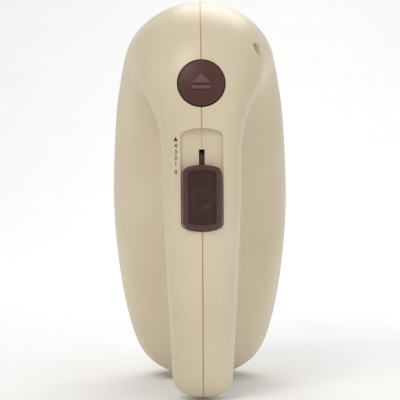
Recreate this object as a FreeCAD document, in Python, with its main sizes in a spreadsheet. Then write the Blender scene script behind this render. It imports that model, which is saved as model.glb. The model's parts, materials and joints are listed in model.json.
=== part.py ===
"""Hand mixer, standing on its heel.

Millimetres. +Z points from the heel to the nose, +Y from the handle to the beaters, +X to the
right with the nose up and the handle towards the viewer. The origin is the middle of the flat
heel face; the motor shaft runs along Z through it. Each sub-part is one labelled object of the
document, sized from the cells of the spreadsheet "dims".
"""
import FreeCAD, Part
import math
import os

Vector = FreeCAD.Vector
Rotation = FreeCAD.Rotation

doc = FreeCAD.newDocument("hand_mixer")
dims = doc.addObject("Spreadsheet::Sheet", "dims")

# ---------------------------------------------------------------- driving dimensions

SIZES = [
    # body and handle
    ("body_width", 86.0, "widest place of the body"),
    ("body_length", 181.8, "heel face to nose"),
    ("deck_face", -33.0, "body face under the handle, along Y"),
    ("base_face", 34.5, "body face on the beater side, along Y"),
    ("handle_top", -93.0, "top of the handle, along Y"),
    ("finger_gap", 30.0, "space between handle and body"),
    ("bend_height", 117.0, "height where the handle starts to bend into the nose"),
    ("wall", 2.4, "skin thickness"),
    ("seam_width", 0.6, "groove between the two housings"),
    ("seam_depth", 0.4, "depth of that groove"),
    ("parting_face", -8.0, "plane between the housings and the base cover, along Y"),
    ("parting_gap", 0.3, "shadow gap on that plane"),
    # controls
    ("recess_width", 18.4, "recess of the speed knob, across"),
    ("recess_length", 44.6, "recess of the speed knob, along the handle"),
    ("recess_middle", 96.3, "height of its middle"),
    ("recess_floor", -90.5, "its floor, along Y"),
    ("floor_thickness", 1.6, "thickness of the recess floor"),
    ("slot_width", 2.5, "slot in the recess floor"),
    ("slot_low", 88.0, "lower end of the slot"),
    ("slot_length", 21.5, "length of the slot"),
    ("knob_width", 16.7, "speed knob, across"),
    ("knob_length", 28.2, "speed knob, along the handle"),
    ("knob_low", 74.6, "its lower end when it is off"),
    ("knob_top", -95.4, "its outer face, along Y"),
    ("button_radius", 10.0, "eject button"),
    ("button_gap", 0.5, "gap around the eject button"),
    ("button_height", 138.0, "height of the eject button"),
    ("button_dome", 40.0, "radius of its domed face"),
    ("rod_radius", 2.0, "ejector rod"),
    ("rod_height", 139.0, "height of the ejector rod"),
    # drive
    ("shaft_radius", 2.5, "motor shaft"),
    ("worm_shaft_radius", 2.0, "motor shaft inside the worm"),
    ("worm_pitch_radius", 4.0, "pitch radius of the worm"),
    ("worm_tip_radius", 4.8, "outer radius of the worm thread"),
    ("worm_core_radius", 2.8, "root radius of the worm thread"),
    ("gear_module", 1.0, "module of worm and wheels"),
    ("worm_starts", 2, "threads on the worm"),
    ("wheel_teeth", 30, "teeth on each worm wheel"),
    ("gear_height", 143.0, "height of the two beater axes"),
    ("beater_offset", 19.0, "distance of each beater axis from the motor axis"),
    ("wheel_half_face", 3.0, "half the face width of a worm wheel"),
    ("spindle_radius", 5.5, "outer radius of a spindle"),
    ("spindle_bore", 3.05, "bore of a spindle"),
    ("spindle_start", -10.3, "upper end of a spindle, along Y"),
    ("spindle_end", 32.5, "lower end of a spindle, along Y"),
    # beaters
    ("beater_shaft_radius", 3.0, "beater shaft"),
    ("beater_start", -18.0, "upper end of a beater shaft, along Y"),
    ("beater_hub_start", 70.0, "hub of the cage, along Y"),
    ("beater_end", 156.0, "tip of a beater, along Y"),
    ("cage_radius", 22.0, "widest radius of the cage, middle of the strip"),
    ("strip_width", 4.2, "width of a cage strip"),
    ("strip_thickness", 1.5, "thickness of a cage strip"),
]

for row, (alias, value, note) in enumerate(SIZES, start=1):
    dims.set(f"A{row}", note)
    dims.set(f"B{row}", str(value))
    dims.setAlias(f"B{row}", alias)
doc.recompute()


def size(alias):
    """The plain number in a cell of the sheet."""
    return float(dims.get(alias))


# ---------------------------------------------------------------- small builders

TURN = {
    "X": Rotation(Vector(0, 1, 0), 90),
    "Y": Rotation(Vector(1, 0, 0), -90),
    "Z": Rotation(),
}
subparts = []


def bind(item, **formulas):
    """Tie properties of a document object to formulas over the sheet."""
    for name, formula in formulas.items():
        item.setExpression(name, str(formula))
    return item


def place(item, at, along="Z"):
    """Turn an object's own Z axis to an axis of the frame and bind its position."""
    item.Placement = FreeCAD.Placement(Vector(0, 0, 0), TURN[along])
    for axis, formula in zip("xyz", at):
        item.setExpression(f".Placement.Base.{axis}", str(formula))
    return item


def rod(name, radius, length, at=(0, 0, 0), along="Z"):
    item = doc.addObject("Part::Cylinder", name)
    bind(item, Radius=radius, Height=length)
    return place(item, at, along)


def cone(name, first_radius, second_radius, length, at, along="Z"):
    item = doc.addObject("Part::Cone", name)
    bind(item, Radius1=first_radius, Radius2=second_radius, Height=length)
    return place(item, at, along)


def block(name, low, extent):
    """A box from its lowest corner and its three lengths."""
    item = doc.addObject("Part::Box", name)
    bind(item, Length=extent[0], Width=extent[1], Height=extent[2])
    return place(item, low)


def slab(name, half_width, low_y, depth, low_z, height):
    """A box centred on the middle plane x = 0."""
    return block(name, (f"-({half_width})", low_y, low_z), (f"2 * ({half_width})", depth, height))


def fuse(name, *items):
    item = doc.addObject("Part::MultiFuse", name)
    item.Shapes = list(items)
    return item


def common(name, *items):
    item = doc.addObject("Part::MultiCommon", name)
    item.Shapes = list(items)
    return item


def cut(name, base, *tools):
    item = doc.addObject("Part::Cut", name)
    item.Base = base
    item.Tool = tools[0] if len(tools) == 1 else fuse(name + "_tools", *tools)
    return item


def group(name, *items):
    """Identical loose pieces that share one name."""
    item = doc.addObject("Part::Compound", name)
    item.Links = list(items)
    return item


def tube(name, outer, inner, length, at, along="Z"):
    """A hollow cylinder; the bore runs past both ends."""
    shift = "XYZ".index(along)
    start = list(at)
    start[shift] = f"({at[shift]}) - 1"
    bore = rod(name + "_bore", inner, f"({length}) + 2", start, along)
    return cut(name, rod(name + "_body", outer, length, at, along), bore)


def rounded(name, base, radius, chosen):
    """Round the edges of a base object that a test picks out."""
    doc.recompute()
    item = doc.addObject("Part::Fillet", name)
    item.Base = base
    picked = [i for i, edge in enumerate(base.Shape.Edges, start=1) if chosen(edge)]
    item.Edges = [(i, radius, radius) for i in picked]
    return item


def edge_runs(axis):
    """Test for straight edges along one axis of the frame."""
    direction = {"X": Vector(1, 0, 0), "Y": Vector(0, 1, 0), "Z": Vector(0, 0, 1)}[axis]

    def test(edge):
        straight = edge.Curve.TypeId == "Part::GeomLine"
        return straight and abs(edge.tangentAt(edge.FirstParameter).dot(direction)) > 0.999

    return test


def edge_at(axis, value):
    """Test for edges that lie in a plane across one axis."""
    shift = "XYZ".index(axis)

    def test(edge):
        box = edge.BoundBox
        low = (box.XMin, box.YMin, box.ZMin)[shift]
        high = (box.XMax, box.YMax, box.ZMax)[shift]
        return abs(low - value) < 1e-4 and abs(high - value) < 1e-4

    return test


def feature(name, shape, at=(0, 0, 0), turn=Rotation()):
    """A free-form piece drawn about the origin and set in its place."""
    item = doc.addObject("Part::Feature", name)
    item.Shape = shape
    item.Placement = FreeCAD.Placement(Vector(*at), turn)
    return item


def keep(name, item):
    """Name an object as a finished sub-part."""
    item.Label = name
    subparts.append(item)
    return item


def round_bar(radius, start, end):
    axis = Vector(*end) - Vector(*start)
    return Part.makeCylinder(radius, axis.Length, Vector(*start), axis)


# ---------------------------------------------------------------- housing skin

HALF_POINTS = 9           # points along half a section, top to bottom
PIVOT_GAP = size("finger_gap") / 2          # radius of the round end of the finger gap

# height, half width, deck side and beater side along Y, squareness
BODY_STATIONS = [
    (0.0, 9.0, -14.0, 20.0, 2.2),
    (1.0, 11.6, -16.6, 23.2, 2.2),
    (3.0, 15.4, -20.0, 26.8, 2.25),
    (7.0, 23.0, -24.0, 30.0, 2.3),
    (13.0, 29.0, -27.2, 32.0, 2.35),
    (24.0, 33.9, -30.0, 33.4, 2.4),
    (40.0, 37.9, -31.8, 34.2, 2.45),
    (62.0, 41.2, -32.8, 34.5, 2.5),
    (90.0, 43.0, -33.0, 34.5, 2.5),
    (117.0, 42.3, -33.0, 34.5, 2.5),
]
# angle from the nose towards the handle, half width, squareness, taper towards the outside
NOSE_STATIONS = [
    (-66, 40.6, 2.25, 0.0),
    (-42, 36.8, 2.1, 0.0),
    (-20, 34.0, 2.0, -0.03),
    (0, 31.8, 1.98, -0.05),
    (20, 29.6, 2.0, -0.07),
    (38, 27.3, 2.05, -0.09),
    (55, 24.4, 2.15, -0.08),
    (73, 20.8, 2.2, -0.04),
]
# height, half width, finger side and top side along Y, squareness
HANDLE_STATIONS = [
    (117.0, 18.3, -63.0, -93.0, 2.3),
    (100.0, 17.5, -64.2, -93.7, 2.3),
    (75.0, 16.6, -65.0, -93.6, 2.3),
    (50.0, 15.4, -65.0, -92.3, 2.3),
    (28.0, 14.2, -64.6, -90.2, 2.3),
    (14.0, 13.6, -65.3, -88.0, 2.3),
    (8.0, 13.0, -66.6, -86.2, 2.3),
    (4.4, 10.9, -68.6, -84.2, 2.3),
    (2.2, 7.6, -71.0, -81.8, 2.3),
    (1.2, 4.6, -73.2, -79.6, 2.3),
]


def nose_radius(angle, pivot):
    """Distance from the pivot to the outer side profile, found by halving."""
    crown = -12.0                                   # the profile is highest here, along Y
    reach = size("body_length") - pivot[1]
    near, far = 5.0, 140.0
    for _ in range(50):
        middle = (near + far) / 2
        y = pivot[0] - math.sin(angle) * middle - crown
        z = math.cos(angle) * middle
        if y < 0:
            power, depth = 2.8, crown - size("handle_top")
        else:
            power, depth = 2.6, size("base_face") - crown
        outside = (abs(z) / reach) ** power + (abs(y) / depth) ** power > 1
        near, far = (near, middle) if outside else (middle, far)
    return near


def skin_stations():
    """Centre (y, z), outward direction (y, z), half width, half depth, squareness, taper."""
    wide = size("body_width") / 86.0
    stations = []
    for z, half, top, bottom, power in BODY_STATIONS:
        stations.append(((top + bottom) / 2, z, 1, 0, half * wide, (bottom - top) / 2, power, 0))
    pivot = (size("deck_face") - PIVOT_GAP, size("bend_height"))
    for degrees, half, power, taper in NOSE_STATIONS:
        angle = math.radians(degrees)
        outer = nose_radius(angle, pivot)
        out_y, out_z = -math.sin(angle), math.cos(angle)
        middle = (outer + PIVOT_GAP) / 2
        stations.append((pivot[0] + out_y * middle, pivot[1] + out_z * middle, out_y, out_z,
                         half * wide, (outer - PIVOT_GAP) / 2, power, taper))
    for z, half, under, top, power in HANDLE_STATIONS:
        stations.append(((under + top) / 2, z, -1, 0, half * wide, (under - top) / 2, power, 0))
    return stations


def skin_grid():
    """Rows of points around every section, from the outer side over the right flank."""
    rows = []
    turns = 2 * (HALF_POINTS - 1)
    for y, z, out_y, out_z, half, depth, power, taper in skin_stations():
        row = []
        for step in range(turns):
            angle = 2 * math.pi * step / turns
            lift, side = math.cos(angle), math.sin(angle)
            across = half * math.copysign(abs(side) ** (2 / power), side) * (1 + taper * lift)
            outward = depth * math.copysign(abs(lift) ** (2 / power), lift)
            row.append(Vector(across, y + out_y * outward, z + out_z * outward))
        rows.append(row)
    return rows


def inset(rows, distance):
    """The same grid moved inwards along its normals; the two end rows stay flat."""
    last, turns = len(rows) - 1, len(rows[0])
    moved = []
    for i, row in enumerate(rows):
        new = []
        for j, point in enumerate(row):
            along = rows[min(i + 1, last)][j] - rows[max(i - 1, 0)][j]
            around = row[(j + 1) % turns] - row[(j - 1) % turns]
            new.append(point - along.cross(around).normalize() * distance)
        moved.append(new)
    for i, shift in ((0, distance), (last, distance)):
        level = rows[i][0].z + shift
        moved[i] = [Vector(p.x, p.y, level) for p in moved[i]]
    return moved


def half_skin(rows, edge=0.0, step=0.0, behind=0.0):
    """The right half of the skin as a solid.

    edge and step cut a groove of that half width and depth along the middle plane;
    behind carries the solid that far past the middle plane.
    """
    wires = []
    even = [i / (HALF_POINTS - 1) for i in range(HALF_POINTS)]
    for row in rows:
        points = [Vector(p) for p in row[:HALF_POINTS]]
        top, bottom = points[0], points[-1]
        top.x = bottom.x = edge
        curve = Part.BSplineCurve()
        curve.interpolate(Points=points, Parameters=even, InitialTangent=Vector(1, 0, 0),
                          FinalTangent=Vector(-1, 0, 0))
        inward = (bottom - top).normalize()
        corners = [bottom]
        if step:
            corners.append(bottom - inward * step)
        flat = [Vector(-behind, p.y, p.z) for p in (bottom - inward * step, top + inward * step)]
        if edge + behind > 0:
            corners += flat
        if step:
            corners.append(top + inward * step)
        corners.append(top)
        edges = [Part.makeLine(a, b) for a, b in zip(corners, corners[1:])]
        wires.append(Part.Wire([curve.toShape()] + edges))
    return Part.makeLoft(wires, True, False)


WALL = size("wall")
grid = skin_grid()
cavity = half_skin(inset(grid, WALL), behind=1.0)
core = half_skin(inset(grid, WALL / 2), behind=1.0)      # middle of the wall, where ribs end
core_left = core.mirror(Vector(0, 0, 0), Vector(1, 0, 0))
grooved_half = half_skin(grid, size("seam_width") / 2, size("seam_depth"))
plain_half = half_skin(grid)
FAR = 400.0
parting = size("parting_face")
upper_space = Part.makeBox(FAR, FAR, FAR, Vector(-1, parting - size("parting_gap") / 2 - FAR, -50))
lower_space = Part.makeBox(FAR, FAR, FAR, Vector(0, parting + size("parting_gap") / 2, -50))


def within(piece, side=1):
    """A rib or boss on one side, grown only to the middle of the wall."""
    start = 0 if side > 0 else -FAR
    half_space = Part.makeBox(FAR, FAR, FAR, Vector(start, -FAR / 2, -FAR / 2))
    return piece.common(core if side > 0 else core_left).common(half_space)


# ---------------------------------------------------------------- housings

gear_z = size("gear_height")
rod_z = size("rod_height")
HOUSING_SCREWS = [(-70.0, 154.5, 17.0), (-79.0, 64.0, 10.0), (-76.5, 12.0, 8.0)]   # y, z, seat
BASE_SCREWS = [(19.0, 21.5), (17.5, 173.8)]                                         # x, z
SCREW_SHANK, SCREW_CLEAR, SCREW_PILOT, SCREW_HEAD = 1.5, 1.7, 1.54, 2.75
COUNTERBORE, BOSS = 3.05, 5.0
BASE_SEAT = 6.0             # height of the base screw heads, along Y
BASE_SCREW_TOP = -20.0
WEB_Y = -51.0               # web that holds the lower end of the eject spring


def knob_recess(extra, floor):
    """Recess of the speed knob: straight sides and arched ends, grown by extra."""
    half = size("recess_width") / 2 + extra
    reach = size("recess_length") / 2 + extra
    top = -100.0
    sides = Part.makeBox(2 * half, floor - top, 2 * reach,
                         Vector(-half, top, size("recess_middle") - reach))
    arch = round_bar(reach, (0, top, size("recess_middle")), (0, floor, size("recess_middle")))
    shape = sides.common(arch)
    corners = [e for e in shape.Edges if edge_runs("Y")(e)]
    return shape.makeFillet(3.0 + extra, corners)


def upper_half():
    """The right housing without its screw places; the left one mirrors it."""
    shape = grooved_half.cut(cavity).common(upper_space)
    floor = size("recess_floor")
    tub = knob_recess(2.0, floor + size("floor_thickness"))
    web = Part.makeBox(80, 2.0, 30, Vector(-40, WEB_Y - 1.0, rod_z - 9.0))
    motor_rib = Part.makeBox(120, 60, 2.0, Vector(-60, -60, 104.5)).cut(
        round_bar(26.5, (0, 0, 100), (0, 0, 110)))
    added = [within(piece).common(upper_space) for piece in (tub, web, motor_rib)]
    for x, z in BASE_SCREWS:
        added.append(within(round_bar(BOSS, (x, parting - 0.2, z), (x, -45, z))))
    shape = shape.multiFuse(added)
    slot = Part.makeBox(size("slot_width"), 20, size("slot_length"),
                        Vector(-size("slot_width") / 2, floor - 5, size("slot_low")))
    removed = [
        knob_recess(0.0, floor),
        slot,
        round_bar(size("button_radius") + size("button_gap"),
                  (0, -80, size("button_height")), (0, -110, size("button_height"))),
        round_bar(size("rod_radius") + 0.3, (0, -60, rod_z), (0, -40, rod_z)),
    ]
    for x, z in BASE_SCREWS:
        removed.append(round_bar(SCREW_PILOT, (x, 0, z), (x, BASE_SCREW_TOP - 1, z)))
    return shape.cut(removed)


half_housing = upper_half()
right_shape = half_housing
left_shape = half_housing.mirror(Vector(0, 0, 0), Vector(1, 0, 0))
for y, z, seat in HOUSING_SCREWS:
    right_boss = within(round_bar(BOSS, (0, y, z), (60, y, z)))
    right_shape = right_shape.fuse(right_boss).cut([
        round_bar(COUNTERBORE, (seat, y, z), (60, y, z)),
        round_bar(SCREW_CLEAR, (-1, y, z), (60, y, z))])
    left_boss = within(round_bar(BOSS - 1.0, (0, y, z), (-60, y, z)), -1)
    left_shape = left_shape.fuse(left_boss).cut(round_bar(SCREW_PILOT, (1, y, z), (-10, y, z)))

GLAND_Y, GLAND_Z, GLAND_RADIUS = -29.6, 22.0, 6.0
GLAND_TILT = 35.0           # the lead leaves this many degrees below the level, past the handle's end
gland_turn = Rotation(Vector(1, 0, 0), 90 + GLAND_TILT)
gland_way = gland_turn.multVec(Vector(0, 0, 1))
gland_centre = Vector(0, GLAND_Y, GLAND_Z)
gland_hole = round_bar(GLAND_RADIUS, gland_centre - gland_way * 16, gland_centre + gland_way * 10)
# Each half is one moulding in three nodes: the body below the bend, the handle and the nose.
HANDLE_END = 122.5          # height where the handle meets the nose, above the knob's recess
pivot_y = size("deck_face") - PIVOT_GAP
handle_space = Part.makeBox(FAR, FAR, FAR, Vector(-FAR / 2, pivot_y - FAR, HANDLE_END - FAR))
body_space = Part.makeBox(FAR, FAR, FAR, Vector(-FAR / 2, pivot_y, size("bend_height") - FAR))
for word, shape in (("left", left_shape), ("right", right_shape)):
    keep(f"{word}_housing", feature(f"{word}_housing", shape.common(body_space).cut(gland_hole)))
    keep(f"{word}_handle", feature(f"{word}_handle", shape.common(handle_space)))
    keep(f"{word}_nose", feature(f"{word}_nose", shape.cut([handle_space, body_space])))

# ---------------------------------------------------------------- base cover

VENT_ROWS, VENT_PITCH, VENT_WIDTH, VENT_REACH = 7, 6.0, 2.6, 11.0


def base_cover_shape():
    """One shell on the beater side, with vents, beater collars and screw pillars."""
    half = plain_half.cut(cavity).common(lower_space)
    shape = half.fuse(half.mirror(Vector(0, 0, 0), Vector(1, 0, 0)))
    low = parting + size("parting_gap") / 2
    offset = size("beater_offset")
    added, removed = [], []
    for side in (1, -1):
        collar = round_bar(9.0, (side * offset, 14, gear_z), (side * offset, 60, gear_z))
        added.append(within(collar, side))
        removed.append(round_bar(6.6, (side * offset, 10, gear_z), (side * offset, 60, gear_z)))
        for x, z in BASE_SCREWS:
            pillar = round_bar(BOSS, (side * x, low, z), (side * x, 60, z))
            added.append(within(pillar, side))
            removed.append(round_bar(COUNTERBORE, (side * x, BASE_SEAT, z), (side * x, 60, z)))
            removed.append(round_bar(SCREW_CLEAR, (side * x, -20, z), (side * x, 60, z)))
        for row in range(VENT_ROWS):
            for first_z in (34.0, 88.0):
                z = first_z + row * VENT_PITCH
                if z < 118:
                    ends = [Vector(side * x, 60, z) for x in (8.0, 8.0 + VENT_REACH)]
                    bar = Part.makeBox(VENT_REACH, 60, VENT_WIDTH,
                                       Vector(min(e.x for e in ends), 20, z - VENT_WIDTH / 2))
                    caps = [Part.makeCylinder(VENT_WIDTH / 2, 60, Vector(e.x, 20, z),
                                              Vector(0, 1, 0)) for e in ends]
                    removed.append(bar.multiFuse(caps))
    return shape.multiFuse(added).cut(removed)


keep("base_cover", feature("base_cover", base_cover_shape()))


def screw(name, at, length, along):
    """A pan-head screw whose head is seated at `at`; the shank runs back along the axis."""
    shift = "XYZ".index(along)
    tip = list(at)
    tip[shift] = at[shift] - length
    shank = rod(name + "_shank", SCREW_SHANK, length, tip, along)
    head = rod(name + "_head", SCREW_HEAD, 2.0, at, along)
    solid = fuse(name + "_solid", shank, head)
    cross = list(at)
    cross[shift] = at[shift] + 1.2
    slots = []
    for turn in range(2):
        arms = {"X": (2.0, 0.8, 3.6), "Y": (0.8, 2.0, 3.6)}[along]
        if turn:
            arms = {"X": (2.0, 3.6, 0.8), "Y": (3.6, 2.0, 0.8)}[along]
        low = [c - a / 2 if i != shift else c for i, (c, a) in enumerate(zip(cross, arms))]
        slots.append(block(f"{name}_cross{turn}", low, arms))
    return cut(name, solid, *slots)


keep("housing_screws", group("housing_screws", *[
    screw(f"housing_screw_{i}", (seat + 0.02, y, z), seat + 8.0, "X")
    for i, (y, z, seat) in enumerate(HOUSING_SCREWS)]))
keep("base_screws", group("base_screws", *[
    screw(f"base_screw_{i}_{side}", (x * side, BASE_SEAT + 0.02, z), BASE_SEAT - BASE_SCREW_TOP,
          "Y")
    for i, (x, z) in enumerate(BASE_SCREWS) for side in (1, -1)]))

# ---------------------------------------------------------------- controls


FLANGE_Y, FLANGE_THICK = -85.2, 1.4      # retaining flange of the eject button


def eject_button():
    """Domed button with a retaining flange under the skin."""
    crown_y, tilt, proud = -91.7, math.radians(9.0), 1.0
    depth = size("button_dome") - proud
    centre = (0, crown_y + math.cos(tilt) * depth, size("button_height") - math.sin(tilt) * depth)
    ball = doc.addObject("Part::Sphere", "button_ball")
    bind(ball, Radius="dims.button_dome")
    place(ball, centre)
    outside_y = -100.0
    stem = rod("button_stem", "dims.button_radius", FLANGE_Y - outside_y + 0.2,
               (0, outside_y, "dims.button_height"), "Y")
    top = common("button_top", ball, stem)
    smooth = rounded("button_smooth", top, 0.7, lambda e: e.BoundBox.YMax < -89)
    flange = rod("button_flange", "dims.button_radius + 1", FLANGE_THICK,
                 (0, FLANGE_Y, "dims.button_height"), "Y")
    return fuse("eject_button", smooth, flange)


keep("eject_button", eject_button())

FORK_TOP = size("beater_start") - 2.3
FORK_THICK = 2.0
COLLAR_Y = -68.0
SPRING_TOP, SPRING_END = COLLAR_Y + 2.0, WEB_Y - 1.0


def ejector_rod():
    """Rod from the button to a fork that reaches both beater shafts."""
    start = FLANGE_Y + FLANGE_THICK
    stem = rod("ejector_stem", "dims.rod_radius", FORK_TOP - start, (0, start, "dims.rod_height"),
               "Y")
    collar = rod("ejector_collar", 4.2, 2.0, (0, COLLAR_Y, "dims.rod_height"), "Y")
    foot = rod("ejector_foot", 5.0, 1.5, (0, start + 0.02, "dims.rod_height"), "Y")
    fork = slab("ejector_fork", "dims.beater_offset + 4", FORK_TOP, FORK_THICK,
                "dims.gear_height - 8", 12.0)
    return fuse("ejector_rod", stem, collar, foot, rounded("fork_smooth", fork, 4.0,
                                                           edge_runs("Y")))


keep("ejector_rod", ejector_rod())


def coil(name, radius, wire, turns, length, at, along):
    """A round-wire helical spring between two faces."""
    helix = doc.addObject("Part::Helix", name + "_path")
    pitch = (length - 2 * wire - 0.2) / turns
    bind(helix, Radius=radius, Pitch=pitch, Height=pitch * turns)
    section = doc.addObject("Part::Circle", name + "_section")
    bind(section, Radius=wire)
    section.Placement = FreeCAD.Placement(Vector(radius, 0, 0), Rotation(Vector(1, 0, 0), 90))
    doc.recompute()
    sweep = doc.addObject("Part::Sweep", name)
    sweep.Sections = [section]
    sweep.Spine = (helix, [f"Edge{i + 1}" for i in range(len(helix.Shape.Edges))])
    sweep.Solid = True
    sweep.Frenet = True
    shift = "XYZ".index(along)
    start = list(at)
    start[shift] = at[shift] + wire + 0.1
    return place(sweep, start, along)


keep("eject_spring", coil("eject_spring", 3.1, 0.4, 6, SPRING_END - SPRING_TOP,
                          (0, SPRING_TOP, rod_z), "Y"))


def arched(name, half_width, low_y, depth, low_z, height, corner):
    """A slab whose two ends along Z are arcs that follow the ends of the recess."""
    arch = size("recess_length") / 2 - 0.5
    blank = slab(name + "_slab", half_width, low_y, depth, low_z, height)
    ends = [rod(f"{name}_arch_{i}", arch, depth, (0, low_y, z), "Y")
            for i, z in enumerate((low_z + arch, low_z + height - arch))]
    return rounded(name, common(name + "_outline", blank, *ends), corner, edge_runs("Y"))


def speed_knob():
    """Arched knob with a raised rim, a sunken face and a finger dimple."""
    top, low, height = size("knob_top"), size("knob_low"), size("knob_length")
    half = size("knob_width") / 2
    lift = size("recess_floor") - 0.2 - top
    rim_width, sink = 2.3, 0.8
    blank = arched("knob_blank", half, top, lift, low, height, 3.0)
    rim = rounded("knob_rim", blank, 1.2, edge_at("Y", top))
    pocket = arched("knob_pocket", half - rim_width, top - 1.0, 1.0 + sink, low + rim_width,
                    height - 2 * rim_width, 1.4)
    dimple = doc.addObject("Part::Sphere", "knob_dimple")
    dimple_radius, dimple_depth = 14.0, 0.9
    bind(dimple, Radius=dimple_radius)
    place(dimple, (0, f"dims.knob_top + {sink + dimple_depth - dimple_radius}",
                   "dims.knob_low + dims.knob_length / 2"))
    return cut("speed_knob", rim, pocket, dimple)


keep("speed_knob", speed_knob())

SLIDER_TOP = size("recess_floor") + size("floor_thickness") + 0.3


def switch_slider():
    """Carriage under the recess floor, with the stem that carries the knob."""
    plate = slab("slider_plate", 6.0, SLIDER_TOP, 1.7, 80.0, 27.5)
    stem = slab("slider_stem", "dims.slot_width / 2 - 0.3", "dims.recess_floor - 0.2",
                SLIDER_TOP - size("recess_floor") + 0.4, "dims.slot_low + 0.4", 6.0)
    return fuse("switch_slider", plate, stem)


keep("switch_slider", switch_slider())


def switch_body():
    """Speed switch block with its terminals."""
    blank = slab("switch_block", 7.0, SLIDER_TOP + 2.0, 14.5, 72.5, 36.0)
    blocks = [rounded("switch_round", blank, 1.0, edge_runs("Z"))]
    for i in range(5):
        blocks.append(block(f"switch_terminal_{i}", (-5.6 + 2.6 * i, -71.0, 70.0),
                            (0.8, 1.2, 6.0)))
    return fuse("switch_body", *blocks)


keep("switch_body", switch_body())
keep("detent_spring", rounded("detent_spring", block(
    "detent_strip", (6.6, SLIDER_TOP + 0.2, 84.0), (0.5, 1.4, 24.0)), 0.15, edge_runs("X")))
keep("noise_capacitor", rounded("noise_capacitor", slab(
    "capacitor_block", 6.5, -84.0, 10.0, 34.0, 18.0), 1.5, edge_runs("Z")))


def cord_gland():
    """Rubber sleeve where the mains lead enters; drawn along Z and tilted into its place."""
    flange_start, wall_outside, tip = -10.0, 3.0, 20.0
    flange = rod("gland_flange", 7.4, 2.0, (0, 0, flange_start))
    neck = rod("gland_neck", GLAND_RADIUS - 0.1, wall_outside - flange_start - 0.1,
               (0, 0, flange_start + 0.1))
    sleeve = cone("gland_sleeve", 5.4, 4.2, tip - wall_outside + 0.4, (0, 0, wall_outside - 0.4))
    ribs = []
    for i in range(5):
        ribs.append(rod(f"gland_rib_{i}", 5.7 - 0.16 * i, 1.2, (0, 0, wall_outside + 1.8 + 3.0 * i)))
    outside = fuse("gland_outside", flange, neck, sleeve, *ribs)
    bore = rod("gland_bore", 3.3, tip - flange_start + 4.0, (0, 0, flange_start - 2.0))
    gland = cut("cord_gland", outside, bore)
    gland.Placement = FreeCAD.Placement(gland_centre, gland_turn)
    return gland


keep("cord_gland", cord_gland())

# ---------------------------------------------------------------- motor

STACK_LOW, STACK_HEIGHT = 52.0, 30.0


def stator_core():
    blank = slab("stator_block", 29.0, -23.0, 46.0, STACK_LOW, STACK_HEIGHT)
    limit = rod("stator_limit", 33.0, STACK_HEIGHT, (0, 0, STACK_LOW))
    outline = common("stator_outline", blank, limit)
    bore = rod("stator_bore", 15.2, 40.0, (0, 0, STACK_LOW - 5))
    windows = [block(f"stator_window_{i}", (x, -11.0, STACK_LOW - 5), (6.0, 22.0, 40.0))
               for i, x in enumerate((-22.0, 16.0))]
    return cut("stator_core", outline, bore, *windows)


keep("stator_core", stator_core())


def field_coil(name, side):
    """One winding round a pole, passing through both windows beside the armature."""
    low = STACK_LOW - 8.0
    height = STACK_HEIGHT + 16.0
    outer = block(name + "_outer", (-21.5, 3.0 if side > 0 else -10.5, low), (43.0, 7.5, height))
    hole = block(name + "_hole", (-16.4, -20.0, STACK_LOW - 0.4), (32.8, 40.0, STACK_HEIGHT + 0.8))
    turn = rod(name + "_clear", 16.2, height + 10, (0, 0, low - 5))
    return cut(name, rounded(name + "_round", outer, 2.0, edge_runs("Y")), hole, turn)


keep("field_coils", group("field_coils", field_coil("upper_coil", -1), field_coil("lower_coil", 1)))


def armature_core():
    blank = rod("armature_blank", 14.6, STACK_HEIGHT, (0, 0, STACK_LOW))
    bore = rod("armature_bore", "dims.shaft_radius", 50.0, (0, 0, STACK_LOW - 10))
    slots = []
    count = 12
    for i in range(count):
        angle = 2 * math.pi * i / count
        slots.append(rod(f"armature_slot_{i}", 1.9, 50.0,
                         (11.4 * math.cos(angle), 11.4 * math.sin(angle), STACK_LOW - 10)))
    return cut("armature_core", blank, bore, *slots)


keep("armature_core", armature_core())


def armature_windings():
    """Winding heads at both ends, joined by the wires in the slots."""
    pieces = []
    for i in range(12):
        angle = 2 * math.pi * i / 12
        pieces.append(rod(f"winding_bar_{i}", 1.75, STACK_HEIGHT + 4.0,
                          (11.4 * math.cos(angle), 11.4 * math.sin(angle), STACK_LOW - 2)))
    for name, z in (("low", STACK_LOW - 7.0), ("high", STACK_LOW + STACK_HEIGHT + 0.3)):
        head = rod(f"winding_{name}_blank", 13.4, 6.7, (0, 0, z))
        edges = rounded(f"winding_{name}", head, 2.5, lambda e: abs(e.Length) > 60)
        pieces.append(edges)
    solid = fuse("winding_solid", *pieces)
    return cut("armature_windings", solid, rod("winding_bore", 4.2, 90.0, (0, 0, 20.0)))


keep("armature_windings", armature_windings())


def commutator():
    drum = tube("commutator_drum", 8.0, "dims.shaft_radius", 13.0, (0, 0, 31.5))
    slits = [block(f"commutator_slit_{i}", (5.5, -0.25, 30.0), (5.0, 0.5, 16.0))
             for i in range(12)]
    for i, slit in enumerate(slits):
        slit.Placement = FreeCAD.Placement(Vector(0, 0, 0), Rotation())
        slit.setExpression(".Placement.Base.x", None)
        slit.setExpression(".Placement.Base.y", None)
        slit.setExpression(".Placement.Base.z", None)
        turn = Rotation(Vector(0, 0, 1), 30.0 * i)
        slit.Placement = FreeCAD.Placement(turn.multVec(Vector(5.5, -0.25, 30.0)), turn)
    return cut("commutator", drum, *slits)


keep("commutator", commutator())

SHAFT_LOW, SHAFT_STEP, SHAFT_HIGH = 14.0, 121.0, 168.0
keep("motor_shaft", fuse(
    "motor_shaft",
    rod("shaft_thick", "dims.shaft_radius", SHAFT_STEP - SHAFT_LOW, (0, 0, SHAFT_LOW)),
    rod("shaft_thin", "dims.worm_shaft_radius", SHAFT_HIGH - SHAFT_STEP, (0, 0, SHAFT_STEP))))


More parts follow.
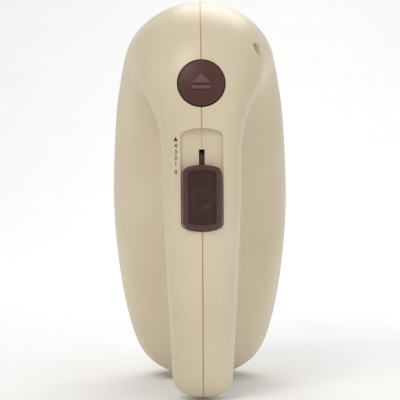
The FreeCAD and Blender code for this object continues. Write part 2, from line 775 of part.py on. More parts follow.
def cooling_fan():
    hub = tube("fan_hub", 7.0, "dims.shaft_radius", 10.0, (0, 0, 94.0))
    disc = tube("fan_disc", 23.2, 6.0, 1.4, (0, 0, 94.0))
    blades = []
    count = 14
    for i in range(count):
        turn = Rotation(Vector(0, 0, 1), 360.0 * i / count)
        blade = doc.addObject("Part::Box", f"fan_blade_{i}")
        bind(blade, Length=15.0, Width=1.1, Height=8.6)
        blade.Placement = FreeCAD.Placement(turn.multVec(Vector(7.6, 2.0, 95.0)), turn)
        blades.append(blade)
    return fuse("cooling_fan", hub, disc, *blades)


keep("cooling_fan", cooling_fan())

BEARINGS = {
    "rear_bearing": (24.0, 7.0, 6.5, "dims.shaft_radius + 0.03"),
    "front_bearing": (108.5, 6.0, 6.5, "dims.shaft_radius + 0.03"),
    "nose_bearing": (162.5, 5.0, 5.0, "dims.worm_shaft_radius + 0.03"),
}
for name, (low, height, outer, inner) in BEARINGS.items():
    keep(name, tube(name, outer, inner, height, (0, 0, low)))


def bracket(name, half, low, height, bearing_radius, feet):
    """A cross bar that holds a bearing and screws to the stator."""
    bar = slab(name + "_bar", half, -9.0, 18.0, low, height)
    ends = rounded(name + "_ends", bar, 4.0, edge_runs("Z"))
    pieces = [ends]
    for i, x in enumerate((-26.5, 26.5)):
        start, end = feet
        pieces.append(rod(f"{name}_post_{i}", 2.6, end - start, (x, 0, start)))
    solid = fuse(name + "_solid", *pieces)
    bore = rod(name + "_bore", bearing_radius, height + 4, (0, 0, low - 2))
    return cut(name, solid, bore)


keep("rear_bracket", bracket("rear_bracket", 29.0, 27.0, 4.0, 6.5, (27.0, STACK_LOW)))
keep("front_bracket", bracket("front_bracket", 29.0, 110.0, 4.0, 6.5,
                              (STACK_LOW + STACK_HEIGHT, 110.0)))
keep("motor_screws", group("motor_screws", *[
    rod(f"motor_screw_{i}", 2.9, 2.0, (x, 0, z)) for i, (x, z) in enumerate(
        ((-26.5, 25.0), (26.5, 25.0), (-26.5, 114.0), (26.5, 114.0)))]))

holders, brushes, springs = [], [], []
for side, word in ((-1, "left"), (1, "right")):
    low_x = 9.6 if side > 0 else -23.6
    sleeve = block(f"{word}_holder_block", (low_x, -4.2, 33.0), (14.0, 8.4, 9.0))
    channel = block(f"{word}_holder_channel", (low_x - 1, -2.6, 34.6), (16.0, 5.2, 5.8))
    holders.append(cut(f"{word}_holder", sleeve, channel))
    brush_x = 8.2 if side > 0 else -17.2
    brushes.append(block(f"{word}_brush", (brush_x, -2.5, 34.7), (9.0, 5.0, 5.6)))
    start_x = 17.2 if side > 0 else -23.4
    springs.append(coil(f"{word}_brush_spring", 1.7, 0.3, 5, 6.2, (start_x, 0, 37.5), "X"))
keep("brush_holders", group("brush_holders", *holders))
keep("carbon_brushes", group("carbon_brushes", *brushes))
keep("brush_springs", group("brush_springs", *springs))

# ---------------------------------------------------------------- worm drive

MODULE = size("gear_module")
STARTS = size("worm_starts")
TEETH = int(size("wheel_teeth"))
LEAD = STARTS * math.pi * MODULE
WHEEL_PITCH = TEETH * MODULE / 2
WORM_PITCH = size("worm_pitch_radius")
SLOPE = LEAD / (2 * math.pi * WORM_PITCH)          # tangent of the lead angle
FLANK = math.tan(math.radians(20.0))
BACKLASH = 0.3                                     # free space on each side of a thread
WORM_LOW, WORM_LENGTH = 127.0, 32.0


def worm():
    """Two-start right-hand worm; a thread crosses the plane y = 0 at the gear height."""
    core, tip = size("worm_core_radius"), size("worm_tip_radius")
    half = math.pi * MODULE / 4 - BACKLASH / 2
    base = core - 0.3
    rise = gear_z - WORM_LOW
    threads = []
    for start in range(int(STARTS)):
        turn = -360.0 * rise / LEAD + 360.0 * start / STARTS
        helix = Part.makeHelix(LEAD, WORM_LENGTH, WORM_PITCH)
        outline = [(base, -half - (WORM_PITCH - base) * FLANK),
                   (tip, -half + (tip - WORM_PITCH) * FLANK),
                   (tip, half - (tip - WORM_PITCH) * FLANK),
                   (base, half + (WORM_PITCH - base) * FLANK)]
        points = [Vector(r, 0, z) for r, z in outline]
        profile = Part.makePolygon(points + points[:1])
        thread = Part.Wire(helix.Edges).makePipeShell([profile], True, True)
        thread.rotate(Vector(0, 0, 0), Vector(0, 0, 1), turn)
        thread.translate(Vector(0, 0, WORM_LOW))
        threads.append(thread)
    barrel = Part.makeCylinder(core, WORM_LENGTH + 5.0, Vector(0, 0, WORM_LOW - 2.5))
    ends = Part.makeCylinder(tip + 1, WORM_LENGTH - 2.0, Vector(0, 0, WORM_LOW + 1.0))
    solid = barrel
    for thread in threads:
        solid = solid.fuse(thread.common(ends))
    bore = Part.makeCylinder(size("worm_shaft_radius"), 60, Vector(0, 0, WORM_LOW - 10))
    return feature("worm", solid.cut(bore))


keep("worm", worm())


def wheel_outline(y):
    """Closed outline of a wheel at one place across its face, turned to follow the worm."""
    twist = y * SLOPE / WHEEL_PITCH
    half = math.pi * MODULE / 4 - BACKLASH / 2 - 0.05
    root, tip = WHEEL_PITCH - 1.25 * MODULE, WHEEL_PITCH + MODULE
    points = []
    for tooth in range(TEETH):
        middle = (tooth + 0.5) * 2 * math.pi / TEETH
        flank = ((root, -half - (WHEEL_PITCH - root) * FLANK),
                 (tip, -half + (tip - WHEEL_PITCH) * FLANK),
                 (tip, half - (tip - WHEEL_PITCH) * FLANK),
                 (root, half + (WHEEL_PITCH - root) * FLANK))
        for radius, across in flank:
            angle = middle + across / radius + twist
            points.append(Vector(radius * math.cos(angle), y, -radius * math.sin(angle)))
    return Part.makePolygon(points + points[:1])


def worm_wheel(name, side):
    reach = size("wheel_half_face")
    steps = [-reach, 0.0, reach]
    rim = Part.makeLoft([wheel_outline(y) for y in steps], True, True)
    rim = rim.cut(round_bar(size("spindle_radius"), (0, -10, 0), (0, 10, 0)))
    for face in (-1, 1):
        ring = round_bar(11.8, (0, face * 1.6, 0), (0, face * 6.0, 0))
        rim = rim.cut(ring.cut(round_bar(8.0, (0, face, 0), (0, face * 7.0, 0))))
    return feature(name, rim, (side * size("beater_offset"), 0, gear_z))


PLATE_LOW, PLATE_LENGTH = 118.0, 50.0
for side, word in ((-1, "left"), (1, "right")):
    keep(f"{word}_worm_wheel", worm_wheel(f"{word}_worm_wheel", side))
    x = f"{side} * dims.beater_offset"
    keep(f"{word}_spindle", tube(f"{word}_spindle", "dims.spindle_radius", "dims.spindle_bore",
                                 "dims.spindle_end - dims.spindle_start",
                                 (x, "dims.spindle_start", "dims.gear_height"), "Y"))

bushes, washers = [], []
for side in (-1, 1):
    x = f"{side} * dims.beater_offset"
    for i, y in enumerate((-9.2, 6.0)):
        bushes.append(tube(f"bush_{i}_{side + 1}", 7.6, "dims.spindle_radius + 0.03", 3.2,
                           (x, y, "dims.gear_height"), "Y"))
    for i, y in enumerate((-5.4, 4.4)):
        washers.append(tube(f"washer_{i}_{side + 1}", 7.4, "dims.spindle_radius + 0.06", 1.0,
                            (x, y, "dims.gear_height"), "Y"))
keep("spindle_bushes", group("spindle_bushes", *bushes))
keep("thrust_washers", group("thrust_washers", *washers))

PILLARS = [(10.0, 121.5), (-10.0, 121.5), (10.0, 164.5), (-10.0, 164.5)]


def gear_frame():
    """Two plates on four pillars that hold the spindle bushes and the nose bearing."""
    plates = []
    for i, y in enumerate((-9.0, 6.2)):
        plate = slab(f"frame_plate_{i}", 29.0, y, 2.8, PLATE_LOW, PLATE_LENGTH)
        plates.append(rounded(f"frame_plate_round_{i}", plate, 11.0, edge_runs("Y")))
    pillars = [rod(f"frame_pillar_{i}", 2.4, 15.0, (x, -7.5, z), "Y")
               for i, (x, z) in enumerate(PILLARS)]
    holder = slab("frame_holder", 6.5, -8.0, 16.0, 162.8, 4.4)
    solid = fuse("frame_solid", holder, *plates, *pillars)
    holes = [rod("frame_bearing_seat", 5.0, 12.0, (0, 0, 160.0))]
    for side in (-1, 1):
        holes.append(rod(f"frame_bush_seat_{side + 1}", 7.6, 40.0,
                         (f"{side} * dims.beater_offset", -20.0, "dims.gear_height"), "Y"))
    return cut("gear_frame", solid, *holes)


keep("gear_frame", gear_frame())
keep("frame_screws", group("frame_screws", *[
    rod(f"frame_screw_{i}", 2.6, 1.8, (x, 9.0, z), "Y") for i, (x, z) in enumerate(PILLARS)]))

# ---------------------------------------------------------------- beaters

STRIPS = 4
CORNER = 9.0


def strip_path():
    """Middle line of one cage strip in the plane of radius and Y, with round corners."""
    start, end = size("beater_hub_start") + 2.5, size("beater_end") - 2.5
    wide = size("cage_radius")
    corners = [Vector(3.8, start, 0), Vector(wide, start + 15.0, 0),
               Vector(wide - 2.0, end - 17.0, 0), Vector(3.0, end, 0)]
    edges = []
    here = corners[0]
    for before, corner, after in zip(corners, corners[1:], corners[2:]):
        back = (before - corner).normalize()
        ahead = (after - corner).normalize()
        half_angle = math.acos(back.dot(ahead)) / 2
        reach = CORNER / math.tan(half_angle)
        middle = corner + (back + ahead).normalize() * (CORNER / math.sin(half_angle) - CORNER)
        first, last = corner + back * reach, corner + ahead * reach
        edges.append(Part.makeLine(here, first))
        edges.append(Part.Arc(first, middle, last).toShape())
        here = last
    edges.append(Part.makeLine(here, corners[-1]))
    return Part.Wire(edges)


def cage_strip(name, x, turn):
    """One flat strip of a beater cage."""
    path = strip_path()
    start = path.Edges[0].Vertexes[0].Point
    ahead = path.Edges[0].tangentAt(path.Edges[0].FirstParameter)
    across = Vector(0, 0, 1)
    flat = ahead.cross(across)
    half_width, half_thick = size("strip_width") / 2, size("strip_thickness") / 2
    points = [start + across * (a * half_width) + flat * (b * half_thick)
              for a, b in ((-1, -1), (1, -1), (1, 1), (-1, 1))]
    solid = path.makePipeShell([Part.makePolygon(points + points[:1])], True, False)
    return feature(name, solid, (x, 0, gear_z), Rotation(Vector(0, 1, 0), turn))


for side, word in ((-1, "left"), (1, "right")):
    x = f"{side} * dims.beater_offset"
    low, high = size("beater_start"), size("beater_hub_start")
    shaft = rod(f"{word}_shaft_bar", "dims.beater_shaft_radius", high - low + 6.0,
                (x, "dims.beater_start", "dims.gear_height"), "Y")
    ring = rod(f"{word}_shaft_ring", 5.4, 2.4, (x, 37.0, "dims.gear_height"), "Y")
    keep(f"{word}_beater_shaft", fuse(f"{word}_beater_shaft", shaft, ring))
    phase = 0.0 if side < 0 else 180.0 / STRIPS
    strips = []
    for i in range(STRIPS):
        strips.append(cage_strip(f"{word}_beater_strip_{i + 1}", side * size("beater_offset"),
                                 phase + 360.0 * i / STRIPS))
    hub = rod(f"{word}_hub_blank", 4.4, 6.0, (x, high, "dims.gear_height"), "Y")
    tip_bar = rod(f"{word}_tip_bar", 4.0, 5.0, (x, "dims.beater_end - 5", "dims.gear_height"), "Y")
    tip = rounded(f"{word}_tip_round", tip_bar, 1.6, lambda e: abs(e.Length) > 20)
    clear = rod(f"{word}_hub_clear", "dims.beater_shaft_radius", 20.0,
                (x, high - 2.0, "dims.gear_height"), "Y")
    keep(f"{word}_beater_hub", cut(f"{word}_beater_hub", hub, clear, *strips))
    keep(f"{word}_beater_tip", cut(f"{word}_beater_tip", tip, *strips))
    for i, strip in enumerate(strips):
        keep(f"{word}_beater_strip_{i + 1}", strip)

# ---------------------------------------------------------------- check and write

doc.recompute()
for item in doc.Objects:
    failed = {"Invalid", "Error"} & set(item.State)
    if failed:
        raise RuntimeError(f"{item.Name} did not build: {item.State}")
for item in subparts:
    if item.Shape.isNull() or not item.Shape.isValid() or item.Shape.Volume <= 0:
        raise RuntimeError(f"{item.Label} has no valid shape")

os.makedirs("parts", exist_ok=True)
for item in subparts:
    item.Shape.exportStep(f"parts/{item.Label}.step")
print(len(subparts), "sub-parts written")
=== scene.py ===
"""Looks of the hand mixer: materials, printed marks, camera, light and floor.

Metres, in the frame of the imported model: +Z from heel to nose, +Y towards the beaters.
"""
import json
import math

import bmesh
import bpy
from mathutils import Matrix, Vector
from mathutils.bvhtree import BVHTree


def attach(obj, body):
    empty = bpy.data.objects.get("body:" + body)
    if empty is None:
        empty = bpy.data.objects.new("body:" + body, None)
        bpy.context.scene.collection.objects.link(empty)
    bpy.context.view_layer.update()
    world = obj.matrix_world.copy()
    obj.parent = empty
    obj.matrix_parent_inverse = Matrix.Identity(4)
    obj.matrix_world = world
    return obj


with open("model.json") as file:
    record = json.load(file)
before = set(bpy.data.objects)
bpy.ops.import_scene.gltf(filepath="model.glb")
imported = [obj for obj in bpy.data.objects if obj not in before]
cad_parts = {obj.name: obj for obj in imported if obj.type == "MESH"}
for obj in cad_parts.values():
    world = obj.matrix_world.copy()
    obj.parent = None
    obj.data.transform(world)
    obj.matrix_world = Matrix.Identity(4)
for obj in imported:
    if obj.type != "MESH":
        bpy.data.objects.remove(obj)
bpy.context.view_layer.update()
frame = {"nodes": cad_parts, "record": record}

MM = 0.001
nodes = frame["nodes"]


# ---------------------------------------------------------------- material helpers

def linear(red, green, blue):
    """A display colour from 0 to 255 as linear light, with alpha."""
    def one(value):
        value /= 255
        return value / 12.92 if value <= 0.04045 else ((value + 0.055) / 1.055) ** 2.4
    return one(red), one(green), one(blue), 1.0


class Material:
    """A Principled material with short calls for its node tree."""

    def __init__(self, name):
        self.block = bpy.data.materials.new(name)
        self.block.use_nodes = True
        self.tree = self.block.node_tree
        self.shader = self.tree.nodes["Principled BSDF"]
        self.place = self.node("ShaderNodeTexCoord").outputs["Object"]

    def node(self, kind, **values):
        node = self.tree.nodes.new(kind)
        for key, value in values.items():
            setattr(node, key, value)
        return node

    def link(self, source, target):
        self.tree.links.new(source, target)

    def set(self, **values):
        for name, value in values.items():
            self.shader.inputs[name.replace("_", " ")].default_value = value

    def noise(self, scale, detail=4.0, roughness=0.55, stretch=(1, 1, 1)):
        """Noise in object space; scale is in features per metre."""
        mapping = self.node("ShaderNodeMapping")
        mapping.inputs["Scale"].default_value = stretch
        self.link(self.place, mapping.inputs["Vector"])
        texture = self.node("ShaderNodeTexNoise")
        texture.inputs["Scale"].default_value = scale
        texture.inputs["Detail"].default_value = detail
        texture.inputs["Roughness"].default_value = roughness
        self.link(mapping.outputs["Vector"], texture.inputs["Vector"])
        return texture.outputs["Fac"]

    def span(self, value, low, high, to_low, to_high):
        """Map a value from one range to another."""
        node = self.node("ShaderNodeMapRange")
        for name, number in zip(("From Min", "From Max", "To Min", "To Max"),
                                (low, high, to_low, to_high)):
            node.inputs[name].default_value = number
        self.link(value, node.inputs["Value"])
        return node.outputs["Result"]

    def blend(self, factor, first, second):
        """Mix two colours, each a tuple or a socket."""
        node = self.node("ShaderNodeMix", data_type="RGBA")
        self.link(factor, node.inputs["Factor"])
        for name, colour in (("A", first), ("B", second)):
            socket = [s for s in node.inputs if s.name == name and s.type == "RGBA"][0]
            if isinstance(colour, tuple):
                socket.default_value = colour
            else:
                self.link(colour, socket)
        return [s for s in node.outputs if s.type == "RGBA"][0]

    def maths(self, first, second, operation="ADD"):
        """One step of arithmetic on numbers or sockets."""
        node = self.node("ShaderNodeMath", operation=operation)
        for socket, value in zip(node.inputs, (first, second)):
            if isinstance(value, (int, float)):
                socket.default_value = value
            else:
                self.link(value, socket)
        return node.outputs["Value"]

    def colour(self, socket):
        self.link(socket, self.shader.inputs["Base Color"])

    def rough(self, socket):
        self.link(socket, self.shader.inputs["Roughness"])

    def bump(self, height, distance, strength):
        node = self.node("ShaderNodeBump")
        node.inputs["Strength"].default_value = strength
        node.inputs["Distance"].default_value = distance
        self.link(height, node.inputs["Height"])
        self.link(node.outputs["Normal"], self.shader.inputs["Normal"])


# ---------------------------------------------------------------- materials

def within(material, axis, middle, reach, soft):
    """1 where a coordinate is within reach of a middle value, fading over soft; metres."""
    split = material.node("ShaderNodeSeparateXYZ")
    material.link(material.place, split.inputs["Vector"])
    away = material.maths(material.maths(split.outputs[axis], middle, "SUBTRACT"), 0.0, "ABSOLUTE")
    return material.span(away, reach - soft, reach + soft, 1.0, 0.0)


# Noise of moulded plastic, in features per metre
CLOUDS, SPECKS, RUB_MARKS, GRAIN = 22.0, 900.0, 60.0, 2600.0


def moulded_plastic(name, light, dark, roughness, grain, gloss=0.0, marks=(), shine=0.5):
    """Injection-moulded plastic: cloudy tint, fine eroded grain, faint rub marks.

    marks are places with a colour of their own, such as a seam, or with painted shade: (colour,
    ranges), and each range is (axis, middle, reach, soft edge) in millimetres.
    """
    material = Material(name)
    clouds = material.noise(CLOUDS, 5.0)
    specks = material.noise(SPECKS, 2.0)
    tint = material.blend(material.span(clouds, 0.35, 0.65, 0, 1), dark, light)
    mix = material.blend(material.span(specks, 0.3, 0.7, 0.0, 0.12), tint, dark)
    for colour, ranges in marks:
        mask = None
        for axis, middle, reach, soft in ranges:
            here = within(material, axis, middle * MM, reach * MM, soft * MM)
            mask = here if mask is None else material.maths(mask, here, "MULTIPLY")
        mix = material.blend(mask, mix, colour)
    material.colour(mix)
    rub = material.noise(RUB_MARKS, 6.0, 0.7, (1, 1, 0.25))
    material.rough(material.span(rub, 0.3, 0.75, roughness - 0.06, roughness + 0.07))
    grain_height = material.maths(specks, material.noise(GRAIN, 2.0))
    material.bump(grain_height, grain * MM, 0.6)
    material.set(Coat_Weight=gloss, Coat_Roughness=0.25, IOR=1.5, Specular_IOR_Level=shine)
    return material.block


def rough_metal(name, light, dark, roughness, stretch=(1, 1, 1), scale=400.0):
    """Drawn, turned or stamped metal with fine lines along one direction."""
    material = Material(name)
    lines = material.noise(scale, 4.0, 0.6, stretch)
    spots = material.noise(80.0, 4.0)
    material.colour(material.blend(material.span(spots, 0.35, 0.7, 0, 1), light, dark))
    material.rough(material.span(lines, 0.3, 0.7, roughness - 0.08, roughness + 0.1))
    material.bump(lines, 0.02 * MM, 0.5)
    material.set(Metallic=1.0)
    return material.block


CREAM_LIGHT, CREAM_DARK = linear(214, 201, 174), linear(207, 192, 163)
CREAM = moulded_plastic("cream_plastic", CREAM_LIGHT, CREAM_DARK, 0.42, 0.02, 0.06)
SEAM = (linear(200, 170, 124), [("X", 0.0, 0.26, 0.05)])
CREAM_SEAMED = moulded_plastic("cream_plastic_seamed", CREAM_LIGHT, CREAM_DARK, 0.42, 0.02, 0.06,
                               [SEAM])
BROWN = moulded_plastic("brown_plastic", linear(80, 46, 41), linear(71, 39, 35), 0.46, 0.02,
                        shine=0.35)
# Painted shade: the knob's sunken face is coloured darker than the rest of the knob, standing in
# for the shade in its recess.
SUNKEN_FACE_SHADE = (linear(54, 28, 23), [("X", 0.0, 5.9, 0.2), ("Y", -94.0, 0.95, 0.1),
                                    ("Z", 88.7, 11.6, 0.2)])
KNOB = moulded_plastic("knob_plastic", linear(84, 52, 46), linear(76, 45, 40), 0.4, 0.02, 0.03,
                       [SUNKEN_FACE_SHADE], 0.35)
# Painted highlight: the raised eject sign is coloured lighter than the button's brown, standing in
# for light caught on its raised lines.
EMBOSSED_HIGHLIGHT = moulded_plastic("embossed_plastic_painted_highlight", linear(104, 72, 65), linear(94, 63, 57), 0.45, 0.01)
OCHRE = moulded_plastic("slider_plastic", linear(104, 72, 24), linear(84, 56, 16), 0.45, 0.02)
INK = moulded_plastic("print_ink", linear(70, 54, 48), linear(56, 42, 38), 0.5, 0.005)
BLACK = moulded_plastic("black_plastic", linear(34, 31, 30), linear(26, 24, 24), 0.5, 0.03)
NYLON = moulded_plastic("nylon", linear(232, 228, 212), linear(220, 214, 196), 0.4, 0.02)
RUBBER = moulded_plastic("rubber", linear(38, 36, 35), linear(30, 28, 28), 0.62, 0.05)
PHENOLIC = moulded_plastic("phenolic", linear(70, 46, 30), linear(54, 34, 22), 0.45, 0.03)
FILM = moulded_plastic("capacitor_film", linear(190, 150, 60), linear(170, 130, 48), 0.3, 0.01, 0.3)
CARBON = moulded_plastic("carbon", linear(40, 40, 42), linear(28, 28, 30), 0.6, 0.05)
CHROME = rough_metal("chrome", (0.78, 0.78, 0.79, 1), (0.7, 0.7, 0.71, 1), 0.14, (1, 0.1, 1))
STEEL = rough_metal("bright_steel", (0.6, 0.6, 0.6, 1), (0.48, 0.48, 0.49, 1), 0.3, (1, 1, 8))
SCREW = rough_metal("zinc", (0.6, 0.58, 0.5, 1), (0.45, 0.43, 0.38, 1), 0.36)
LAMINATION = rough_metal("laminations", (0.22, 0.22, 0.23, 1), (0.14, 0.13, 0.13, 1), 0.45,
                         (0.02, 0.02, 4), 900.0)
COPPER = rough_metal("copper", (0.72, 0.32, 0.16, 1), (0.55, 0.2, 0.09, 1), 0.35, (1, 1, 6), 700.0)
BRONZE = rough_metal("bronze", (0.6, 0.42, 0.2, 1), (0.5, 0.33, 0.15, 1), 0.4)
ALLOY = rough_metal("alloy", (0.55, 0.55, 0.56, 1), (0.45, 0.45, 0.46, 1), 0.5, scale=200.0)

FINISHES = {
    "cream_plastic": CREAM, "brown_plastic": BROWN, "screw_steel": SCREW, "spring_steel": STEEL,
    "beater_chrome": CHROME, "core_steel": LAMINATION, "copper_winding": COPPER,
    "shaft_steel": STEEL, "bronze": BRONZE, "gear_nylon": NYLON, "fan_plastic": BLACK,
    "frame_alloy": ALLOY, "bracket_steel": STEEL, "carbon": CARBON, "phenolic": PHENOLIC,
    "gland_rubber": RUBBER, "capacitor_film": FILM,
}


SIDES = ("left", "right")


def mouldings(*parts):
    """Names of the outer moulding's nodes on both sides."""
    return [f"{side}_{part}" for side in SIDES for part in parts]


def dress(obj, material):
    obj.data.materials.clear()
    obj.data.materials.append(material)


OWN_FINISHES = {"speed_knob": KNOB, "switch_slider": OCHRE, "switch_body": BLACK}
OWN_FINISHES.update({name: CREAM_SEAMED for name in mouldings("housing", "handle", "nose")})
for part in frame["record"]["subparts"]:
    name = part["node"]
    dress(nodes[name], OWN_FINISHES.get(name, FINISHES[part["material_slot"]]))


# ---------------------------------------------------------------- printed and raised marks

IN_FRONT = -0.2          # a place on Y ahead of every surface, metres
CAP_HEIGHT = 0.7         # height of a figure as a share of the font's size
HEAVIER = 0.04 * MM      # how far a figure's outline is moved outwards


def link(obj):
    """Put an object in the scene and hand it back."""
    bpy.context.scene.collection.objects.link(obj)
    return obj


def surface_of(*names):
    """Search trees over CAD nodes, for laying marks on them."""
    return [BVHTree.FromPolygons([v.co for v in nodes[n].data.vertices],
                                 [p.vertices for p in nodes[n].data.polygons]) for n in names]


def height_at(trees, x, z):
    """The first surface met when coming from the handle side along +Y."""
    hits = [tree.ray_cast(Vector((x, IN_FRONT, z)), Vector((0, 1, 0))) for tree in trees]
    return min(hit[0].y for hit in hits if hit[0] is not None)


def lay_on(mesh, trees, lift):
    """Press a flat mesh, drawn in X and Z, onto a surface; lift is added to its own height."""
    for vertex in mesh.vertices:
        x, own, z = vertex.co
        vertex.co = (x, height_at(trees, x, z) - lift + own, z)


def finer(mesh, step, rounds=3):
    """Cut long edges so that the mesh can follow a curved surface."""
    build = bmesh.new()
    build.from_mesh(mesh)
    bmesh.ops.triangulate(build, faces=build.faces)
    for _ in range(rounds):
        long_edges = [e for e in build.edges if e.calc_length() > step]
        if long_edges:
            bmesh.ops.subdivide_edges(build, edges=long_edges, cuts=1)
            bmesh.ops.triangulate(build, faces=build.faces)
    build.to_mesh(mesh)
    build.free()


def numeral(character, x, z, tall):
    """A flat printed character, centred on (x, z)."""
    data = bpy.data.curves.new(f"numeral_{character}", "FONT")
    data.body = character
    data.size = tall / CAP_HEIGHT
    data.align_x = "CENTER"
    data.offset = HEAVIER
    obj = bpy.data.objects.new("text", data)
    mesh = bpy.data.meshes.new_from_object(obj)
    for vertex in mesh.vertices:
        vertex.co = (x + vertex.co.x, 0, z + vertex.co.y - tall / 2)
    bpy.data.objects.remove(obj)
    return mesh


def speed_scale():
    """Speed figures beside the knob, with a plain wedge for the fastest step."""
    trees = surface_of(*mouldings("housing", "handle", "nose"))
    x, tall, off = -11.2 * MM, 1.75 * MM, 99.9 * MM
    places = {"0": off, "1": off + 3.6 * MM, "2": off + 6.1 * MM, "3": off + 8.7 * MM,
              "4": off + 11.3 * MM}
    pieces = []
    for character, z in places.items():
        mesh = numeral(character, x, z, tall)
        pieces.append((f"speed_figure_{character}", mesh))
    wedge = bpy.data.meshes.new("speed_wedge")
    low, high, half = off + 13.2 * MM, off + 15.2 * MM, 0.9 * MM
    wedge.from_pydata([(x - half, 0, low), (x + half, 0, low), (x, 0, high)], [], [(0, 1, 2)])
    pieces.append(("speed_wedge", wedge))
    for name, mesh in pieces:
        finer(mesh, 0.5 * MM)
        lay_on(mesh, trees, 0.03 * MM)
        obj = link(bpy.data.objects.new(name, mesh))
        dress(obj, INK)
        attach(obj, "housing")


def mould_lines():
    """A faint raised line on each side of the deck, where the mould parts meet under the bend."""
    trees = surface_of(*mouldings("housing", "nose"))
    outer, inner, bend_low, bend_high = 37.2, 25.5, 115.4, 119.7    # millimetres
    half_width, tall, steps, end_size = 0.45 * MM, 0.16 * MM, 24, 0.05
    profile = [(-1.0, -0.15), (-0.4, 0.75), (0.0, 1.0), (0.4, 0.75), (1.0, -0.15)]
    for side, word in zip((-1, 1), SIDES):
        build = bmesh.new()
        rows = []
        for step in range(steps + 1):
            turn = math.pi / 2 * step / steps
            x = side * (inner + (outer - inner) * math.sin(turn)) * MM
            z = (bend_low + (bend_high - bend_low) * math.cos(turn)) * MM
            fade = min(1.0, 5.0 * min(step, steps - step) / steps + end_size)
            rows.append([build.verts.new((x, -height * tall * fade, z + across * half_width * fade))
                         for across, height in profile])
        for low, high in zip(rows, rows[1:]):
            for i in range(len(profile) - 1):
                build.faces.new((low[i], low[i + 1], high[i + 1], high[i]))
        bmesh.ops.recalc_face_normals(build, faces=build.faces)
        mesh = bpy.data.meshes.new(f"mould_line_{word}")
        build.to_mesh(mesh)
        build.free()
        lay_on(mesh, trees, 0.0)
        mesh.shade_smooth()
        obj = link(bpy.data.objects.new(f"mould_line_{word}", mesh))
        dress(obj, CREAM)
        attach(obj, "housing")


def raised_outline(name, corners, tall, sink, edge):
    """A low block over a closed outline in X and Z, with a bevelled top edge.

    tall is how far it stands out towards -Y, sink how far it reaches into the surface.
    """
    build = bmesh.new()
    middle = Vector((sum(c[0] for c in corners) / len(corners), 0,
                     sum(c[1] for c in corners) / len(corners)))

    def ring(depth, shrink):
        verts = []
        for x, z in corners:
            point = Vector((x, 0, z))
            point += (middle - point).normalized() * shrink
            verts.append(build.verts.new((point.x, -depth, point.z)))
        return verts

    rings = [ring(-sink, 0.0), ring(tall - edge, 0.0), ring(tall, edge)]
    for low, high in zip(rings, rings[1:]):
        for i, vert in enumerate(low):
            after = (i + 1) % len(low)
            build.faces.new((vert, low[after], high[after], high[i]))
    build.faces.new(rings[0])
    build.faces.new(list(reversed(rings[-1])))
    bmesh.ops.recalc_face_normals(build, faces=build.faces)
    mesh = bpy.data.meshes.new(name)
    build.to_mesh(mesh)
    build.free()
    return mesh


def eject_symbol():
    """Raised eject sign on the button: a triangle that points to the nose over a bar."""
    trees = surface_of("eject_button")
    middle = 138.0 * MM
    half, bar, gap, point = 4.2 * MM, 1.5 * MM, 1.1 * MM, 4.2 * MM
    base = middle - 2.6 * MM
    outlines = {
        "eject_sign_bar": [(-half, base), (half, base), (half, base + bar), (-half, base + bar)],
        "eject_sign_triangle": [(-half, base + bar + gap), (half, base + bar + gap),
                                (0.0, base + bar + gap + point)],
    }
    for name, corners in outlines.items():
        mesh = raised_outline(name, corners, 0.45 * MM, 0.2 * MM, 0.2 * MM)
        finer(mesh, 0.9 * MM)
        lay_on(mesh, trees, 0.0)
        obj = link(bpy.data.objects.new(name, mesh))
        # the sign's lighter colour is a painted highlight
        dress(obj, EMBOSSED_HIGHLIGHT)
        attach(obj, "ejector")


# ---------------------------------------------------------------- stage, light and camera

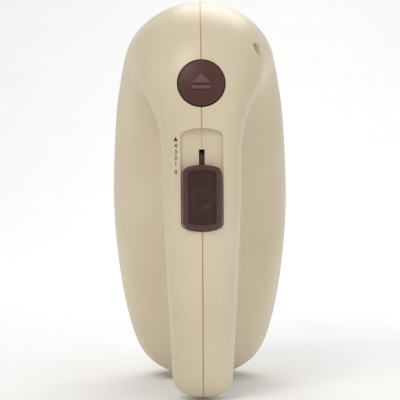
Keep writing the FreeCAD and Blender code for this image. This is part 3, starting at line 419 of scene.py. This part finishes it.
def backdrop():
    """Pale floor that sweeps up into a pale wall behind the mixer."""
    mesh = bpy.data.meshes.new("floor")
    build = bmesh.new()
    radius, front, depth, top, half, steps = 0.5, -1.6, 1.1, 2.0, 2.5, 12
    outline = [(front, 0.0), (depth, 0.0)]
    for step in range(1, steps + 1):
        angle = math.radians(90 * step / steps)
        outline.append((depth + radius * math.sin(angle), radius * (1 - math.cos(angle))))
    outline.append((depth + radius, top))
    rows = [[build.verts.new((x, y, z)) for x in (-half, half)] for y, z in outline]
    for low, high in zip(rows, rows[1:]):
        build.faces.new((low[0], low[1], high[1], high[0]))
    build.to_mesh(mesh)
    build.free()
    mesh.shade_smooth()
    obj = link(bpy.data.objects.new("floor", mesh))
    material = Material("floor")
    paper = material.noise(30.0, 5.0)
    material.colour(material.blend(paper, (0.93, 0.93, 0.93, 1), (0.89, 0.89, 0.89, 1)))
    material.rough(material.span(paper, 0.3, 0.7, 0.8, 0.95))
    dress(obj, material.block)


def area_light(name, place, target, size, power, colour=(1, 1, 1)):
    """A round soft light that points at a target; size in metres, power in watts."""
    data = bpy.data.lights.new(name, "AREA")
    data.shape = "DISK"
    data.size = size
    data.energy = power
    data.color = colour
    obj = link(bpy.data.objects.new(name, data))
    aim = Vector(target) - Vector(place)
    obj.matrix_world = Matrix.Translation(place) @ aim.to_track_quat("-Z", "Y").to_matrix().to_4x4()


def studio():
    """Three soft lights and an even white world."""
    middle = (0, -0.02, 0.09)
    area_light("key", (-0.5, -0.9, 1.1), middle, 0.7, 6.0, (1.0, 0.98, 0.96))
    area_light("fill", (0.9, -0.9, 0.4), middle, 1.0, 2.2, (0.97, 0.98, 1.0))
    area_light("back", (0.2, 1.0, 1.3), (0, 0.3, 0.1), 1.2, 10.0)
    world = bpy.data.worlds.new("studio")
    world.use_nodes = True
    world.node_tree.nodes["Background"].inputs["Color"].default_value = (1, 1, 1, 1)
    world.node_tree.nodes["Background"].inputs["Strength"].default_value = 0.58
    bpy.context.scene.world = world
    bpy.context.scene.view_settings.view_transform = "Standard"


def camera():
    """Nearly straight onto the handle, from a little to the left, level with the body's middle."""
    distance, height, aside = 0.647, 0.08775, 0.0066
    sensor, lens = 36.0, 116.46    # millimetres
    yaw = -math.atan(aside / distance)
    roll = math.radians(-0.42)
    data = bpy.data.cameras.new("camera")
    data.sensor_width = sensor
    data.lens = lens
    data.clip_start = 0.01
    obj = link(bpy.data.objects.new("camera", data))
    obj.matrix_world = (Matrix.Translation((-aside, -distance, height))
                        @ Matrix.Rotation(yaw, 4, "Z")
                        @ Matrix.Rotation(math.radians(90), 4, "X")
                        @ Matrix.Rotation(roll, 4, "Z"))
    bpy.context.scene.camera = obj


speed_scale()
eject_symbol()
mould_lines()
backdrop()
studio()
camera()
